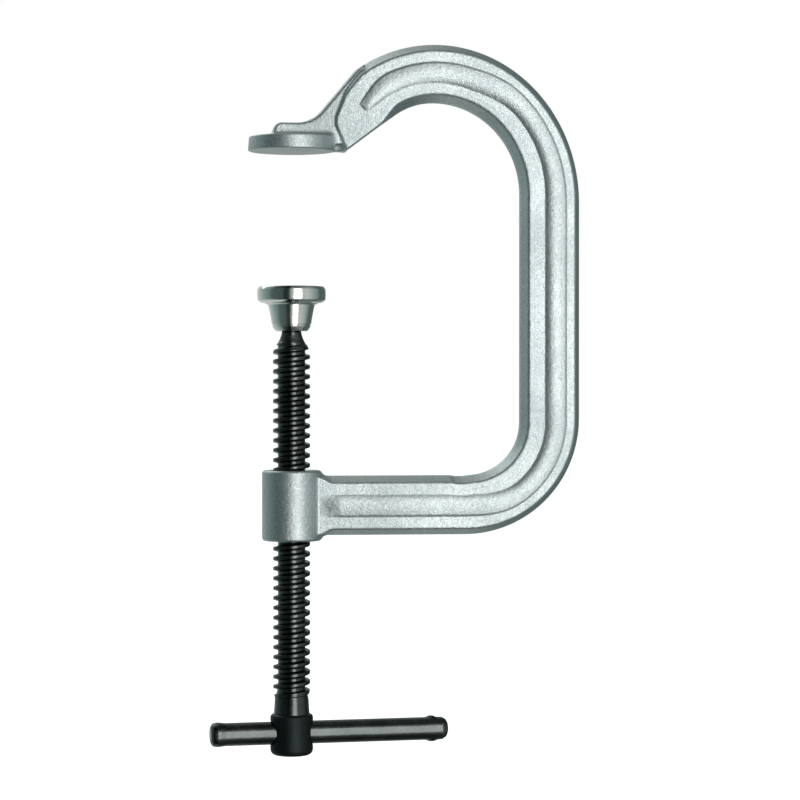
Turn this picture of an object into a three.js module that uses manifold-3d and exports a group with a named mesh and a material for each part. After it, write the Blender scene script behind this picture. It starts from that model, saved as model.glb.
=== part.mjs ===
// Drop-forged deep-throat C clamp with a swivel pad and a sliding T handle.
// Millimetres. The origin is the centre of the anvil's face, on the screw's axis.
// +Z runs up the screw's axis, +X runs from the screw towards the frame's spine.

import * as THREE from 'three';
import { mergeVertices } from 'three/addons/utils/BufferGeometryUtils.js';
import Module from 'manifold-3d';

const wasm = await Module();
wasm.setup();

// ---- driving dimensions ----

// frame forging
const HALF_THICKNESS = 7.2;
const SPINE_INNER_X = 98.8;
const SPINE_OUTER_X = 125.2;
const ARM_TOP_Z = -139.3;
const ARM_BOTTOM_Z = -165.1;
const CORNER_INNER_R = 23;
const CORNER_OUTER_R = 50;
const ARCH_OUTER_TOP_Z = 46.6;
const ARCH_OUTER_RADII = [62.7, 68];
const ARCH_INNER_TOP_Z = 21.2;
const ARCH_INNER_RADII = [37.6, 39.5];
const ARCH_THROAT_R = 28;
const ARCH_THROAT_END = 125.8;
const ARCH_END = 114;
const BLOCK_START = 120;
const DRAFT_WIDTH = 3;
const PARTING_HALF = 1;
const SHOULDER_DROP = 1.6;
const SHOULDER_SHARE = 0.4;
const TOE = [23.5, 0];
const CREASE = [[26.6, 33.4], [22.8, 24], [19, 14.3], [18.9, 11.1]];

// Rounded bead along the middle of each face: where it lies across the beam's width, and its own
// profile as shares of its width and of its height. It is steep towards the throat.
const BEAD_HEIGHT = 1.15;
const BEAD_START = 0.35;
const BEAD_END = 0.72;
const BEAD_PROFILE = [[0, 0], [0.12, 0.5], [0.4, 1], [0.75, 0.7], [1, 0]];

// the arm where it swells into the hub: x, growth of the section, height of the bead
const ARM_SWELL = [
  [2, 1.6, 0.05],
  [11.2, 1.6, 0.05],
  [12.6, 0.5, 0.1],
  [14.8, 0, 0.3],
  [20, 0, BEAD_HEIGHT],
];

// anvil disc and the rib on it
const ANVIL_R = 18.7;
const ANVIL_THICKNESS = 6.2;
const ANVIL_EDGE = 0.6;
const ANVIL_DRAFT = 0.5;
const RIB_HALF_WIDTH = 4.8;
const RIB_BEVEL = 1.5;
const RIB_TOP_Z = 12.3;
const RIB_NOSE_X = -8.2;
const RIB_NOSE_ROUND = [3.2, 4];
const RIB_BACK = [15.2, 20];
const RIB_HOLLOW_CONTROL = [10.6, 12.9];
const RIB_HOLLOW_END_X = 2.8;
const RIB_SUNK = 2;
const RIB_BURIED_X = [32, 33];
const RIB_BURIED_Z = 27;
const WEB_HALF_WIDTHS = [2.2, 6.2];
const WEB_START_X = 15;

// hub
const HUB_R = 12.7;
const HUB_TOP_Z = -137;
const HUB_BOTTOM_Z = -167.3;
const HUB_ROUND = 1.2;

// screw and its thread
const PITCH = 25.4 / 6;
const THREAD_MAJOR_R = 8;
const THREAD_MINOR_R = 5.9;
const CREST_LAND = 1.57;
const RIDGE_BASE = 2.66;
const THREAD_TOP_Z = -82.4;
const THREAD_BOTTOM_Z = -235;
const CREST_Z_AT_PLUS_X = -151.7;
const RUNNING_GAP = 0.32;
const TURN_SEGMENTS = 16;
const BALL_R = 5.6;
const BALL_Z = -70.2;
const NECK_R = 4.1;
const HEAD_R = 9.2;
const HEAD_TOP_Z = -241.8;
const HEAD_BOTTOM_Z = -259.5;
const HEAD_LOW_CHAMFER = [2, 1.8];
const HEAD_TOP_CHAMFER = [0.9, 1];
const SHANK_R = [7.7, 7.3];
const SHANK_STEP = 0.2;
const CORE_R = 5.3;
const NECK_TAPER = [[5, 1.9], [4.4, 3.7]];
const THREAD_RUN_OUT = 1.6;
const THREAD_LEAD_IN = [3.4, 0.6];

// swivel pad and its retaining ring
const PAD_FACE_Z = -58;
const PAD_R = 14.75;
const SOCKET_GAP = 0.3;
const LIP_Z = -77.2;
const LIP_OPENING_R = 5.75;
const RING_R = 5.7;
const RING_WIRE_R = 0.6;
const RING_Z = -73.9;
const RING_GROOVE_R = 6.95;
const RING_GROOVE_HALF_HEIGHT = 1.5;
const RING_SPLIT_DEGREES = 24;

// the pad's outside from its lip to its face: radius, height above the lip
const PAD_OUTSIDE = [
  [6.4, 0],
  [7.5, 0.8],
  [8.1, 2.2],
  [8.8, 5.5],
  [9.7, 9.8],
  [10.1, 11.4],
  [11.3, 11.9],
  [13.4, 12.4],
  [14.5, 13.7],
  [PAD_R, 15.1],
  [PAD_R, 17.4],
  [14.4, 18.6],
  [13.6, 19.2],
];

// sliding bar
const BAR_R = 4.95;
const BAR_LEFT = -35.4;
const BAR_RIGHT = 68.7;
const BAR_Z = -250;
const BAR_TURN = THREE.MathUtils.degToRad(6.5);
const BAR_HOLE_R = 5.2;
const BAR_END_ROUND = 2.6;
const UPSET_R = 5.45;
const UPSET_STEPS = [2.9, 4, 5.2];
const STAKE_CENTRE = 61.4;
const STAKE_HALF = [3.4, 2.7, 5.75];

const ROUND_SEGMENTS = 36;

// ---- geometry helpers ----

function toSolid(geometry) {
  const bare = geometry.clone();
  bare.deleteAttribute('normal');
  bare.deleteAttribute('uv');
  const merged = mergeVertices(bare, 1e-4);
  return new wasm.Manifold(new wasm.Mesh({
    numProp: 3,
    vertProperties: new Float32Array(merged.attributes.position.array),
    triVerts: new Uint32Array(merged.index.array),
  }));
}

function toGeometry(solid) {
  const mesh = solid.getMesh();
  const geometry = new THREE.BufferGeometry();
  geometry.setAttribute('position', new THREE.BufferAttribute(mesh.vertProperties, 3));
  geometry.setIndex(new THREE.BufferAttribute(mesh.triVerts, 1));
  const flat = geometry.toNonIndexed();
  flat.computeVertexNormals();
  return flat;
}

function indexed(points, triangles) {
  const geometry = new THREE.BufferGeometry();
  geometry.setAttribute('position', new THREE.Float32BufferAttribute(points.flat(), 3));
  geometry.setIndex(triangles.flat());
  return geometry;
}

// A lathe turned about +Z from a profile of [radius, z] points.
function turned(profile, segments = ROUND_SEGMENTS) {
  const points = profile.map(([r, z]) => new THREE.Vector2(r, z));
  return new THREE.LatheGeometry(points, segments).rotateX(Math.PI / 2);
}

// Points on an arc, or on a part of an ellipse, in the plane of a profile; angles in degrees.
function arc(cx, cy, rx, from, to, steps, ry = rx) {
  const points = [];
  for (let i = 0; i <= steps; i++) {
    const a = THREE.MathUtils.degToRad(from + ((to - from) * i) / steps);
    points.push([cx + rx * Math.cos(a), cy + ry * Math.sin(a)]);
  }
  return points;
}

// A closed skin over a list of rings that all have the same number of points.
function loft(rings) {
  const count = rings[0].length;
  const points = rings.flat();
  const triangles = [];
  for (let i = 0; i < rings.length - 1; i++) {
    for (let j = 0; j < count; j++) {
      const a = i * count + j;
      const b = i * count + ((j + 1) % count);
      triangles.push([a, b, b + count], [a, b + count, a + count]);
    }
  }
  for (const [ring, first, flip] of [[rings[0], 0, true], [rings.at(-1), points.length - count, false]]) {
    const centre = [0, 1, 2].map((k) => (ring[0][k] + ring[count / 2][k]) / 2);
    points.push(centre);
    for (let j = 0; j < count; j++) {
      const edge = [first + j, first + ((j + 1) % count)];
      triangles.push(flip ? [points.length - 1, edge[1], edge[0]] : [points.length - 1, ...edge]);
    }
  }
  return indexed(points, triangles);
}

// A right-hand helical ridge on a core, as one closed tube. The surface is a strip of rows
// that follow the helix, each joined to the row one pitch further on, with a fan at each end.
function threadTube(zLow, zHigh, gap) {
  const major = THREAD_MAJOR_R + gap;
  const minor = THREAD_MINOR_R + gap;
  const profile = [
    [-RIDGE_BASE / 2 - gap, minor],
    [-CREST_LAND / 2 - gap, major],
    [CREST_LAND / 2 + gap, major],
    [RIDGE_BASE / 2 + gap, minor],
  ];
  const rowsPerPitch = profile.length;
  const start = Math.floor((zLow - CREST_Z_AT_PLUS_X) / PITCH) - 1;
  const turns = Math.ceil((zHigh - zLow) / PITCH) + 3;
  const rows = turns * rowsPerPitch + 1;
  const points = [];
  const rowPoint = (row, step) => {
    const [offset, r] = profile[row % rowsPerPitch];
    const lead = start + Math.floor(row / rowsPerPitch) + step / TURN_SEGMENTS;
    const a = (2 * Math.PI * step) / TURN_SEGMENTS;
    return [r * Math.cos(a), r * Math.sin(a), CREST_Z_AT_PLUS_X + lead * PITCH + offset];
  };
  for (let row = 0; row < rows; row++) {
    for (let step = 0; step < TURN_SEGMENTS; step++) {
      points.push(rowPoint(row, step));
    }
  }
  const lastPoints = points.length;
  for (let k = 1; k < rowsPerPitch + 1; k++) {
    points.push(rowPoint(rows - rowsPerPitch - 1 + k, TURN_SEGMENTS));
  }
  const at = (row, step) => {
    if (step < TURN_SEGMENTS) return row * TURN_SEGMENTS + step;
    const next = row + rowsPerPitch;
    return next < rows ? next * TURN_SEGMENTS : lastPoints + next - rows;
  };
  const triangles = [];
  for (let row = 0; row < rows - 1; row++) {
    for (let step = 0; step < TURN_SEGMENTS; step++) {
      const corners = [at(row, step), at(row, step + 1), at(row + 1, step + 1), at(row + 1, step)];
      triangles.push([corners[0], corners[1], corners[2]], [corners[0], corners[2], corners[3]]);
    }
  }
  const bottom = [];
  const top = [];
  for (let step = 0; step <= TURN_SEGMENTS; step++) {
    bottom.push(at(0, step));
    top.push(at(rows - 1, step));
  }
  for (let k = 1; k < rowsPerPitch; k++) {
    bottom.push(at(rowsPerPitch - k, 0));
    top.push(at(rows - 1 - k, TURN_SEGMENTS));
  }
  for (const [loop, flip] of [[bottom, true], [top, false]]) {
    const z = points[loop[TURN_SEGMENTS / 2]][2];
    points.push([0, 0, z]);
    loop.forEach((a, i) => {
      const b = loop[(i + 1) % loop.length];
      triangles.push(flip ? [points.length - 1, b, a] : [points.length - 1, a, b]);
    });
  }
  return toSolid(indexed(points, triangles));
}

// ---- frame forging ----

// One ring of the beam's section between an inner and an outer point of the frame's outline:
// drafted sides, and a rounded bead between two flat bands.
function sectionRing(station) {
  const { inner, outer, draft = DRAFT_WIDTH, outerDraft = draft, bead = BEAD_HEIGHT, grow = 0 } = station;
  const along = [outer[0] - inner[0], outer[1] - inner[1]];
  const width = Math.hypot(...along);
  const h = HALF_THICKNESS + grow;
  const shoulder = h - SHOULDER_DROP;
  const beadAt = (share) => width * (BEAD_START + (BEAD_END - BEAD_START) * share);
  const half = [
    [-grow, PARTING_HALF],
    [draft * SHOULDER_SHARE - grow, shoulder],
    [draft - grow, h],
    ...BEAD_PROFILE.map(([share, risen]) => [beadAt(share), h + bead * risen]),
    [width - outerDraft + grow, h],
    [width - outerDraft * SHOULDER_SHARE + grow, shoulder],
    [width + grow, PARTING_HALF],
  ];
  const ring = [...half.map(([t, y]) => [t, -y]), ...[...half].reverse()];
  return ring.map(([t, y]) => [inner[0] + (along[0] * t) / width, y, inner[1] + (along[1] * t) / width]);
}

function armStations() {
  return ARM_SWELL.map(([x, grow, bead]) => {
    return { inner: [x, ARM_TOP_Z], outer: [x, ARM_BOTTOM_Z], grow, bead };
  });
}

function cornerStations() {
  const corner = (edgeX, edgeZ, r) => arc(edgeX - r, edgeZ + r, r, -90, 0, 9);
  const inner = corner(SPINE_INNER_X, ARM_TOP_Z, CORNER_INNER_R);
  const outer = corner(SPINE_OUTER_X, ARM_BOTTOM_Z, CORNER_OUTER_R);
  return inner.map((point, i) => ({ inner: point, outer: outer[i] }));
}

// Points on the arch's outer ellipse, angles in degrees from the spine's side.
function archOuter(from, to, steps) {
  const [rx, rz] = ARCH_OUTER_RADII;
  return arc(SPINE_OUTER_X - rx, ARCH_OUTER_TOP_Z - rz, rx, from, to, steps, rz);
}

function archStations() {
  const [rx, rz] = ARCH_INNER_RADII;
  const innerX = SPINE_INNER_X - rx;
  const throatZ = ARCH_INNER_TOP_Z - ARCH_THROAT_R;
  const inner = [
    ...arc(innerX, ARCH_INNER_TOP_Z - rz, rx, 0, 90, 10, rz),
    ...arc(innerX, throatZ, ARCH_THROAT_R, 90, ARCH_THROAT_END, 3).slice(1),
  ];
  const outer = [...archOuter(0, 90, 10), ...archOuter(90, ARCH_END, 3).slice(1)];
  return inner.map((point, i) => ({ inner: point, outer: outer[i] }));
}

// The thick block at the arch's end, which narrows to a toe level with the anvil's face.
function blockStations() {
  const throatEnd = archStations().at(-1).inner;
  const towardsToe = (f) => [0, 1].map((k) => throatEnd[k] + (TOE[k] - throatEnd[k]) * f);
  const [shoulder] = archOuter(BLOCK_START, BLOCK_START, 1);
  return [
    { inner: towardsToe(0.2), outer: shoulder, draft: 2.4, outerDraft: 2.4, bead: 0.9 },
    { inner: towardsToe(0.42), outer: CREASE[0], draft: 1, outerDraft: 1.2, bead: 0.4 },
    { inner: towardsToe(0.6), outer: CREASE[1], draft: 0.9, bead: 0.05 },
    { inner: towardsToe(0.8), outer: CREASE[2], draft: 0.8, bead: 0.05 },
    { inner: TOE, outer: CREASE[3], draft: 0.7, bead: 0.05 },
  ];
}

function beamSolid() {
  const stations = [...armStations(), ...cornerStations(), ...archStations(), ...blockStations()];
  return toSolid(loft(stations.map(sectionRing)));
}

// The rib that carries the load from the arch down on to the back of the anvil disc.
function ribSolid() {
  const shape = new THREE.Shape();
  shape.moveTo(RIB_NOSE_X, ANVIL_THICKNESS - RIB_SUNK);
  shape.lineTo(RIB_BURIED_X[0], ANVIL_THICKNESS - RIB_SUNK);
  shape.lineTo(RIB_BURIED_X[1], RIB_BURIED_Z);
  shape.lineTo(...CREASE[0]);
  shape.lineTo(...RIB_BACK);
  shape.quadraticCurveTo(...RIB_HOLLOW_CONTROL, RIB_HOLLOW_END_X, RIB_TOP_Z);
  shape.lineTo(RIB_NOSE_X + RIB_NOSE_ROUND[0], RIB_TOP_Z);
  shape.quadraticCurveTo(RIB_NOSE_X, RIB_TOP_Z, RIB_NOSE_X, RIB_TOP_Z - RIB_NOSE_ROUND[1]);
  shape.closePath();
  const geometry = new THREE.ExtrudeGeometry(shape, {
    depth: 2 * (RIB_HALF_WIDTH - RIB_BEVEL),
    bevelThickness: RIB_BEVEL,
    bevelSize: RIB_BEVEL,
    bevelOffset: -RIB_BEVEL,
    bevelSegments: 2,
    curveSegments: 6,
  });
  geometry.translate(0, 0, -(RIB_HALF_WIDTH - RIB_BEVEL));
  return toSolid(geometry.rotateX(Math.PI / 2));
}

// The wedge between the edge of the anvil disc and the toe of the block, narrow at the disc.
function webSolid() {
  const [narrow, wide] = WEB_HALF_WIDTHS;
  const shape = new THREE.Shape();
  shape.moveTo(WEB_START_X, -narrow);
  shape.lineTo(TOE[0], -wide);
  shape.lineTo(TOE[0], wide);
  shape.lineTo(WEB_START_X, narrow);
  shape.closePath();
  return toSolid(new THREE.ExtrudeGeometry(shape, { depth: ANVIL_THICKNESS, bevelEnabled: false }));
}

function anvilSolid() {
  const topR = ANVIL_R - ANVIL_DRAFT;
  return toSolid(turned([
    [0, 0],
    [ANVIL_R - ANVIL_EDGE, 0],
    [ANVIL_R, ANVIL_EDGE],
    [topR, ANVIL_THICKNESS - ANVIL_EDGE],
    [topR - ANVIL_EDGE, ANVIL_THICKNESS],
    [0, ANVIL_THICKNESS],
  ]));
}

function hubSolid() {
  return toSolid(turned([
    [0, HUB_BOTTOM_Z],
    ...arc(HUB_R - HUB_ROUND, HUB_BOTTOM_Z + HUB_ROUND, HUB_ROUND, -90, 0, 2),
    ...arc(HUB_R - HUB_ROUND, HUB_TOP_Z - HUB_ROUND, HUB_ROUND, 0, 90, 2),
    [0, HUB_TOP_Z],
  ]));
}

function frameGeometry() {
  const forging = beamSolid().add(ribSolid()).add(webSolid()).add(anvilSolid()).add(hubSolid());
  return toGeometry(forging.subtract(threadTube(HUB_BOTTOM_Z, HUB_TOP_Z, RUNNING_GAP)));
}

// ---- screw ----

// Ball, hollow-sided neck, a core inside the thread, plain tapered length and head.
function screwCore() {
  const neckAngle = -THREE.MathUtils.radToDeg(Math.acos(NECK_R / BALL_R));
  return toSolid(turned([
    [0, HEAD_BOTTOM_Z],
    [HEAD_R - HEAD_LOW_CHAMFER[0], HEAD_BOTTOM_Z],
    [HEAD_R, HEAD_BOTTOM_Z + HEAD_LOW_CHAMFER[1]],
    [HEAD_R, HEAD_TOP_Z - HEAD_TOP_CHAMFER[1]],
    [HEAD_R - HEAD_TOP_CHAMFER[0], HEAD_TOP_Z],
    [SHANK_R[0], HEAD_TOP_Z + SHANK_STEP],
    [SHANK_R[1], THREAD_BOTTOM_Z + SHANK_STEP],
    [CORE_R, THREAD_BOTTOM_Z + THREAD_RUN_OUT],
    [CORE_R, THREAD_TOP_Z + 1],
    ...NECK_TAPER.map(([r, rise]) => [r, THREAD_TOP_Z + rise]),
    [NECK_R, LIP_Z + SHANK_STEP],
    ...arc(0, BALL_Z, BALL_R, neckAngle, 90, 9),
  ]));
}

function threadRidge() {
  const clearR = THREAD_MAJOR_R + 1;
  const leadInTop = THREAD_TOP_Z + THREAD_LEAD_IN[1];
  const envelope = toSolid(turned([
    [0, THREAD_BOTTOM_Z],
    [SHANK_R[1], THREAD_BOTTOM_Z],
    [clearR, THREAD_BOTTOM_Z + THREAD_RUN_OUT],
    [clearR, THREAD_TOP_Z - THREAD_LEAD_IN[0]],
    [CORE_R, leadInTop],
    [0, leadInTop],
  ], TURN_SEGMENTS));
  return threadTube(THREAD_BOTTOM_Z, THREAD_TOP_Z, 0).intersect(envelope);
}

function barHole() {
  const reach = HEAD_R + 5;
  const hole = new THREE.CylinderGeometry(BAR_HOLE_R, BAR_HOLE_R, 2 * reach, 24);
  return toSolid(alongBar(hole.rotateZ(-Math.PI / 2)));
}

function screwGeometry() {
  return toGeometry(screwCore().add(threadRidge()).subtract(barHole()));
}

// ---- swivel pad and retaining ring ----

function padGeometry() {
  const grooveTop = RING_Z + RING_GROOVE_HALF_HEIGHT;
  const grooveBottom = RING_Z - RING_GROOVE_HALF_HEIGHT;
  const socketR = BALL_R + SOCKET_GAP;
  return turned([
    ...arc(0, BALL_Z, socketR, 90, 0, 7),
    [socketR, grooveTop],
    [RING_GROOVE_R, grooveTop],
    [RING_GROOVE_R, grooveBottom],
    [LIP_OPENING_R, grooveBottom],
    [LIP_OPENING_R, LIP_Z],
    ...PAD_OUTSIDE.map(([r, rise]) => [r, LIP_Z + rise]),
    [0, PAD_FACE_Z],
  ]);
}

function ringGeometry() {
  const round = new THREE.Shape();
  round.absarc(0, 0, RING_WIRE_R, 0, 2 * Math.PI);
  const half = THREE.MathUtils.degToRad(RING_SPLIT_DEGREES / 2);
  const circle = new THREE.EllipseCurve(0, 0, RING_R, RING_R, half, 2 * Math.PI - half);
  const route = circle.getPoints(32).map((p) => new THREE.Vector3(p.x, p.y, RING_Z));
  return new THREE.ExtrudeGeometry(round, {
    steps: 36,
    curveSegments: 4,
    extrudePath: new THREE.CatmullRomCurve3(route),
  });
}

// ---- sliding bar ----

// Places a geometry made along X, centred on the screw's axis, where the bar runs.
function alongBar(geometry) {
  return geometry.rotateZ(BAR_TURN).translate(0, 0, BAR_Z);
}

function barGeometry() {
  const r = BAR_END_ROUND;
  const body = turned([
    [0, BAR_LEFT],
    ...arc(BAR_R - r, BAR_LEFT + r, r, -90, -20, 3),
    [UPSET_R, BAR_LEFT + UPSET_STEPS[0]],
    [UPSET_R, BAR_LEFT + UPSET_STEPS[1]],
    [BAR_R, BAR_LEFT + UPSET_STEPS[2]],
    ...arc(BAR_R - r, BAR_RIGHT - r, r, 0, 90, 4),
    [0, BAR_RIGHT],
  ], 24).rotateY(Math.PI / 2);
  const stake = new THREE.SphereGeometry(1, 16, 10).scale(...STAKE_HALF).translate(STAKE_CENTRE, 0, 0);
  return toGeometry(toSolid(alongBar(body)).add(toSolid(alongBar(stake))));
}

// ---- the clamp ----

function finish(color, roughness, metalness) {
  return new THREE.MeshStandardMaterial({ color, roughness, metalness });
}

const SILVER = finish(0xc9d2d2, 0.42, 0.9);
const BLACK_OXIDE = finish(0x11181a, 0.38, 0.6);
const SPRING_STEEL = finish(0x5a5f63, 0.35, 0.9);
const NICKEL = finish(0xd6dad6, 0.12, 1);

const clamp = new THREE.Group();
const PIECES = [
  ['c_frame', frameGeometry(), SILVER],
  ['screw', screwGeometry(), BLACK_OXIDE],
  ['swivel_pad', padGeometry(), NICKEL],
  ['retaining_ring', ringGeometry(), SPRING_STEEL],
  ['sliding_bar', barGeometry(), BLACK_OXIDE],
];
for (const [name, geometry, material] of PIECES) {
  const mesh = new THREE.Mesh(geometry, material);
  mesh.name = name;
  clamp.add(mesh);
}

export default clamp;
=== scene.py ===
"""Looks of a drop-forged deep-throat C clamp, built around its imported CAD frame.

Shapes are worked out in millimetres, in the CAD's own frame, and turned into metres as each mesh is made:
the origin is the centre of the anvil's face, +Z runs up the screw's axis and +X towards the spine.
"""
import math

import bmesh
import bpy
import numpy as np
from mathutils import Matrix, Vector


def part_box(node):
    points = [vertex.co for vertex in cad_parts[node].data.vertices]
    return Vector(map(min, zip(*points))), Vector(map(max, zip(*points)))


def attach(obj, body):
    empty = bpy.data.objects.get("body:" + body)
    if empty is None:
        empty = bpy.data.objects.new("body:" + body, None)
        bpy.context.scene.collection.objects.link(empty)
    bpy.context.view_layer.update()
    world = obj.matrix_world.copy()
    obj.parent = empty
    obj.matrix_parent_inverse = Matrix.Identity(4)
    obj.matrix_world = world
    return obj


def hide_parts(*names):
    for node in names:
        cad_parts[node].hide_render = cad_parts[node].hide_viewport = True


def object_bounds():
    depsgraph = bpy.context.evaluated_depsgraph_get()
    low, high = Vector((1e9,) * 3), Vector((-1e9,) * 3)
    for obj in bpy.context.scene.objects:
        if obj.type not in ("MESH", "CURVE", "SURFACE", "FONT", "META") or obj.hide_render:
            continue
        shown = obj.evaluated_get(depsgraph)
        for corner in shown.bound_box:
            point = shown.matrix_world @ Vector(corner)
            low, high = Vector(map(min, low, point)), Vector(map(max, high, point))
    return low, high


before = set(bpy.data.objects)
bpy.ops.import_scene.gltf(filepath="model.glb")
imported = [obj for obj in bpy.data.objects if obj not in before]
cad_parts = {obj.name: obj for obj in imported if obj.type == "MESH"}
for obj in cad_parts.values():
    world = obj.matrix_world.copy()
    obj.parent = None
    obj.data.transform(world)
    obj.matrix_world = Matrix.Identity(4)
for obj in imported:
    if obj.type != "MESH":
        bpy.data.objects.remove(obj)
cad_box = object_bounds()

MM = 0.001


def cad(node):
    """Lowest and highest corner of a CAD node, in millimetres."""
    low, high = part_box(node)
    return np.array(low) / MM, np.array(high) / MM


FORGING_LOW, FORGING_HIGH = cad("c_frame")
SCREW_LOW = cad("screw")[0]
PAD_LOW, PAD_HIGH = cad("swivel_pad")
RING_LOW, RING_HIGH = cad("retaining_ring")

# ---- driving dimensions, in millimetres unless they say otherwise ----

HALF_THICKNESS = 7.2
BEAD_HEIGHT = 1.1
BEAD_CREST = 0.5  # where the bead is highest, as a share of its width
BEAD_FULL_WIDTH = 8.0  # a narrower bead is lower in proportion
PARTING = 1.0
SPINE_WIDTH = 26.4
SPINE_OUTER_X = FORGING_HIGH[0]
SPINE_INNER_X = SPINE_OUTER_X - SPINE_WIDTH
ARM_TOP_Z = -139.3
ARM_BOTTOM_Z = -165.1
CORNER_INNER_R = 23.0
CORNER_OUTER_R = 50.0
ARCH_TOP_Z = FORGING_HIGH[2]
ARCH_OUTER = (62.7, 68.0)
ARCH_INNER = (37.6, 39.5)
ARCH_INNER_TOP_Z = 21.2
THROAT_R = 28.0
THROAT_SLOPE = 35.8
TOE_X = 23.5
DISC_R = 18.7
DISC_TOP_Z = 6.2
WEB_START_X = 15.0
WEB_HALF_WIDTH = 1.4
WEB_SPREAD = 0.36
RIB_TOP_Z = 12.3
RIB_NOSE_X = -8.3
RIB_END_X = 31.0
HUB_R = 12.7
HUB_TOP_Z = -137.0
HUB_BOTTOM_Z = FORGING_LOW[2]

PITCH = 25.4 / 6
CREST_Z = -151.7
THREAD_MAJOR_R = 8.0
THREAD_MINOR_R = 5.9
CREST_HALF = 0.785
RIDGE_HALF = 1.33
RUNNING_GAP = 0.32
THREAD_TOP_Z = -82.4
THREAD_BOTTOM_Z = -235.0

BALL_R = 5.6
BALL_Z = -70.2
NECK_R = 4.1
HEAD_R = 9.2
HEAD_TOP_Z = -241.8
HEAD_BOTTOM_Z = SCREW_LOW[2]
BAR_Z = -250.0
BAR_TURN = math.radians(6.5)
BAR_R = 4.95
BAR_HOLE_R = 5.2
BAR_LEFT = -35.3
BAR_RIGHT = 68.7

FLOOR_DROP = 0.062  # metres; clears the head when the screw is wound all the way out


# ---- fields: signed distances, negative inside the metal ----

SLANT = 0.7071  # one over the square root of two, for 45 degree chamfers
NOWHERE = 1e3  # so far away that joining or cutting with it changes nothing

def smooth_max(a, b, k):
    """The larger of two fields, with the edge where they meet rounded over k millimetres."""
    overlap = np.maximum(k - np.abs(a - b), 0.0) / k
    return np.maximum(a, b) + overlap * overlap * k * 0.25


def smooth_min(a, b, k):
    return -smooth_max(-a, -b, k)


def smooth_step(start, end, value):
    t = np.clip((value - start) / (end - start), 0.0, 1.0)
    return t * t * (3.0 - 2.0 * t)


def arc(cx, cz, rx, rz, start, end, spacing=0.7):
    """Points on an arc of a circle or an ellipse; angles in degrees."""
    count = max(3, int(math.radians(abs(end - start)) * max(rx, rz) / spacing))
    a = np.radians(np.linspace(start, end, count))
    return np.column_stack([cx + rx * np.cos(a), cz + rz * np.sin(a)])


def chain(*parts):
    return np.vstack([np.atleast_2d(p) for p in parts])


def inner_line():
    """The clamp's inner edge, from the hub, round the corner and the arch, down to the toe."""
    arch_x = SPINE_INNER_X - ARCH_INNER[0]
    corner = SPINE_INNER_X - CORNER_INNER_R
    toe_step = np.array([math.cos(math.radians(THROAT_SLOPE)), math.sin(math.radians(THROAT_SLOPE))])
    return chain(
        (-25.0, ARM_TOP_Z),
        (corner - 7.5, ARM_TOP_Z),
        (corner - 5.5, ARM_TOP_Z - 0.35),
        (corner - 2.5, ARM_TOP_Z - 0.4),
        arc(corner, ARM_TOP_Z + CORNER_INNER_R, CORNER_INNER_R, CORNER_INNER_R, -86, 0),
        arc(arch_x, ARCH_INNER_TOP_Z - ARCH_INNER[1], *ARCH_INNER, 0, 90),
        arc(arch_x, ARCH_INNER_TOP_Z - THROAT_R, THROAT_R, THROAT_R, 90, 90 + THROAT_SLOPE),
        np.array([TOE_X, 0.0]) - toe_step * 12.0,
    )


def outer_line():
    """The outer edge, from the hub to the arch, then down the rib's back to its nose."""
    corner = SPINE_OUTER_X - CORNER_OUTER_R
    arch_x = SPINE_OUTER_X - ARCH_OUTER[0]
    slope = 50.6
    fillet = 13.7
    return chain(
        (-25.0, ARM_BOTTOM_Z),
        arc(corner, ARM_BOTTOM_Z + CORNER_OUTER_R, CORNER_OUTER_R, CORNER_OUTER_R, -90, 0),
        arc(arch_x, ARCH_TOP_Z - ARCH_OUTER[1], *ARCH_OUTER, 0, 124),
        arc(1.9, RIB_TOP_Z + fillet, fillet, fillet, slope - 90, -90, 0.4),
        arc(RIB_NOSE_X + 3.6, RIB_TOP_Z - 4.6, 3.6, 4.6, 90, 180, 0.4),
        (RIB_NOSE_X, -8.0),
    )


def side_of_line(x, z, line):
    """Distance to a line of points, positive on its left as it runs."""
    best = np.full(x.shape, 1e9, np.float32)
    signed = np.zeros(x.shape, np.float32)
    for (ax, az), (bx, bz) in zip(line[:-1], line[1:]):
        dx, dz = bx - ax, bz - az
        length = dx * dx + dz * dz
        px, pz = x - ax, z - az
        t = np.clip((px * dx + pz * dz) / length, 0.0, 1.0)
        gap = (px - t * dx) ** 2 + (pz - t * dz) ** 2
        nearer = gap < best
        best = np.where(nearer, gap, best)
        signed = np.where(nearer, np.sign(dx * pz - dz * px), signed)
    return np.sqrt(best) * signed


def beyond(x, z, a, b):
    """Distance from the straight line through a and b, positive on its left."""
    dx, dz = b[0] - a[0], b[1] - a[1]
    return (dx * (z - a[1]) - dz * (x - a[0])) / math.hypot(dx, dz)


CREASE_TOP = (26.7, 32.9)
CREASE_KNEE = (19.0, 14.3)
CREASE_FOOT = (18.9, 11.1)


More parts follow.
